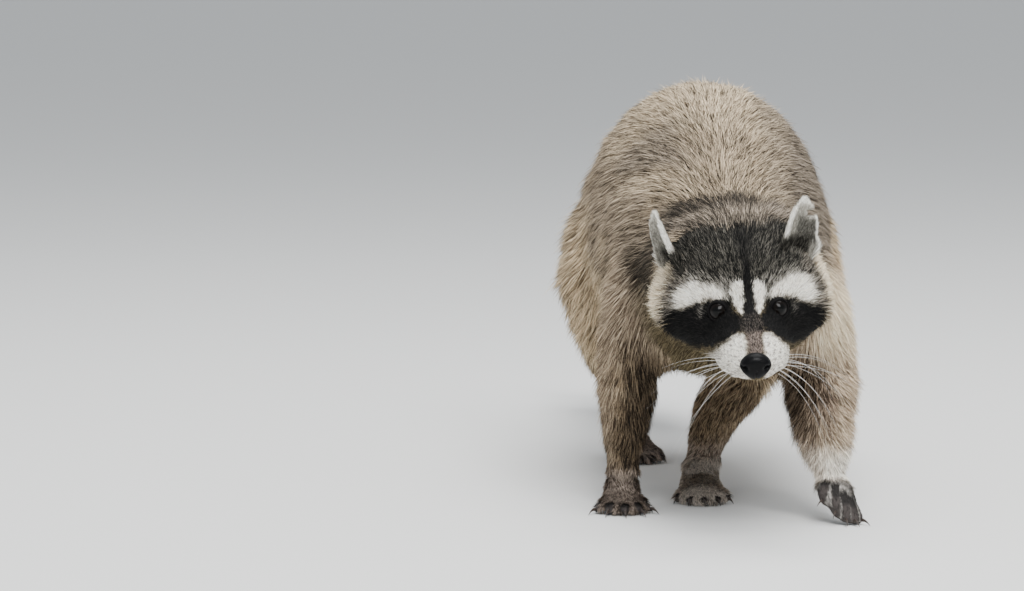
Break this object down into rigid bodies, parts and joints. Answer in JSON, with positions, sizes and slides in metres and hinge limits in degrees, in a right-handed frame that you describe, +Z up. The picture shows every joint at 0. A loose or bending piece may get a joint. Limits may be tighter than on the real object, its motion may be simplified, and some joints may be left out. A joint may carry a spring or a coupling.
{
  "type": "raccoon",
  "caption": "Life-size still model of an adult raccoon in a slow walk, its left forepaw reaching forward, parted into its natural regions, for display on a floor.",
  "frame": {"origin": "middle of the underside of the model's box, on the floor between the paws", "axes": "+Z up, +Y from the nose towards the tail, +X to the animal's left"},
  "size_m": [0.2268, 0.8796, 0.3179],
  "materials": {
    "grizzled_coat": "long grizzled fur, tan and dark brown",
    "face_coat": "short dense fur with a black mask and white brows",
    "leg_coat": "brown-grey fur with pale fringes",
    "tail_coat": "bushy fur in dark and pale rings",
    "paw_skin": "dark bare skin under short pale hair",
    "ear_coat": "short pale fur, darker inside",
    "eye": "wet dark brown",
    "nose_leather": "moist pebbled black",
    "claw_horn": "smooth dark horn"
  },
  "bodies": {
    "root": {"chest": "grizzled_coat", "claw_fore_left_1": "claw_horn", "claw_fore_left_2": "claw_horn", "claw_fore_left_3": "claw_horn", "claw_fore_left_4": "claw_horn", "claw_fore_left_5": "claw_horn", "claw_fore_right_1": "claw_horn", "claw_fore_right_2": "claw_horn", "claw_fore_right_3": "claw_horn", "claw_fore_right_4": "claw_horn", "claw_fore_right_5": "claw_horn", "claw_hind_left_1": "claw_horn", "claw_hind_left_2": "claw_horn", "claw_hind_left_3": "claw_horn", "claw_hind_left_4": "claw_horn", "claw_hind_left_5": "claw_horn", "claw_hind_right_1": "claw_horn", "claw_hind_right_2": "claw_horn", "claw_hind_right_3": "claw_horn", "claw_hind_right_4": "claw_horn", "claw_hind_right_5": "claw_horn", "ear_left": "ear_coat", "ear_right": "ear_coat", "eye_left": "eye", "eye_right": "eye", "forearm_left": "leg_coat", "forearm_right": "leg_coat", "forepaw_left": "paw_skin", "forepaw_right": "paw_skin", "head": "face_coat", "hindpaw_left": "paw_skin", "hindpaw_right": "paw_skin", "neck": "grizzled_coat", "nose": "nose_leather", "rump": "grizzled_coat", "shank_left": "leg_coat", "shank_right": "leg_coat", "tail_base": "tail_coat", "tail_middle": "tail_coat", "tail_tip": "tail_coat", "thigh_left": "leg_coat", "thigh_right": "leg_coat", "trunk": "grizzled_coat", "upper_arm_left": "leg_coat", "upper_arm_right": "leg_coat"}
  },
  "joints": []
}
